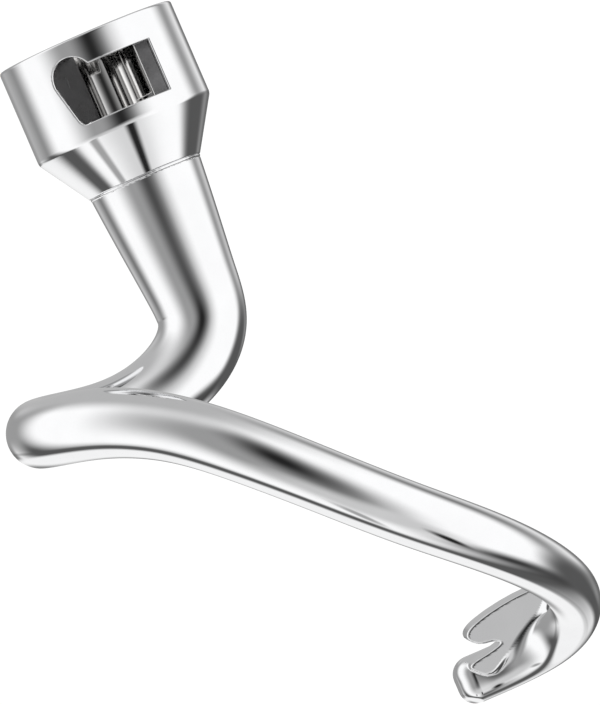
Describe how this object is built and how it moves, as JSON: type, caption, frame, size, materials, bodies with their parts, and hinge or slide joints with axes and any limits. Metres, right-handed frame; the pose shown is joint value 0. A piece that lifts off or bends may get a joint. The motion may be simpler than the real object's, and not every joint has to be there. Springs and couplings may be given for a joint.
{
  "type": "stand mixer dough hook",
  "caption": "Bayonet-fit dough hook: a turned steel collar with a milled pin window, welded to one tapering rod bent round into a hook with a flattened foot.",
  "frame": {"origin": "centre of the bore at the open mouth of the collar", "axes": "+Z along the bore axis and out of the mouth, so the hook hangs towards -Z; the bayonet window faces -Y and +X is to the right of it"},
  "size_m": [0.0871, 0.0699, 0.138],
  "materials": {
    "collar_steel": "mirror polished, turned",
    "hook_steel": "mirror polished, forged",
    "weld_steel": "ground and polished weld"
  },
  "bodies": {
    "root": {"collar": "collar_steel", "hook_arm": "hook_steel", "weld_seam": "weld_steel"}
  },
  "joints": []
}
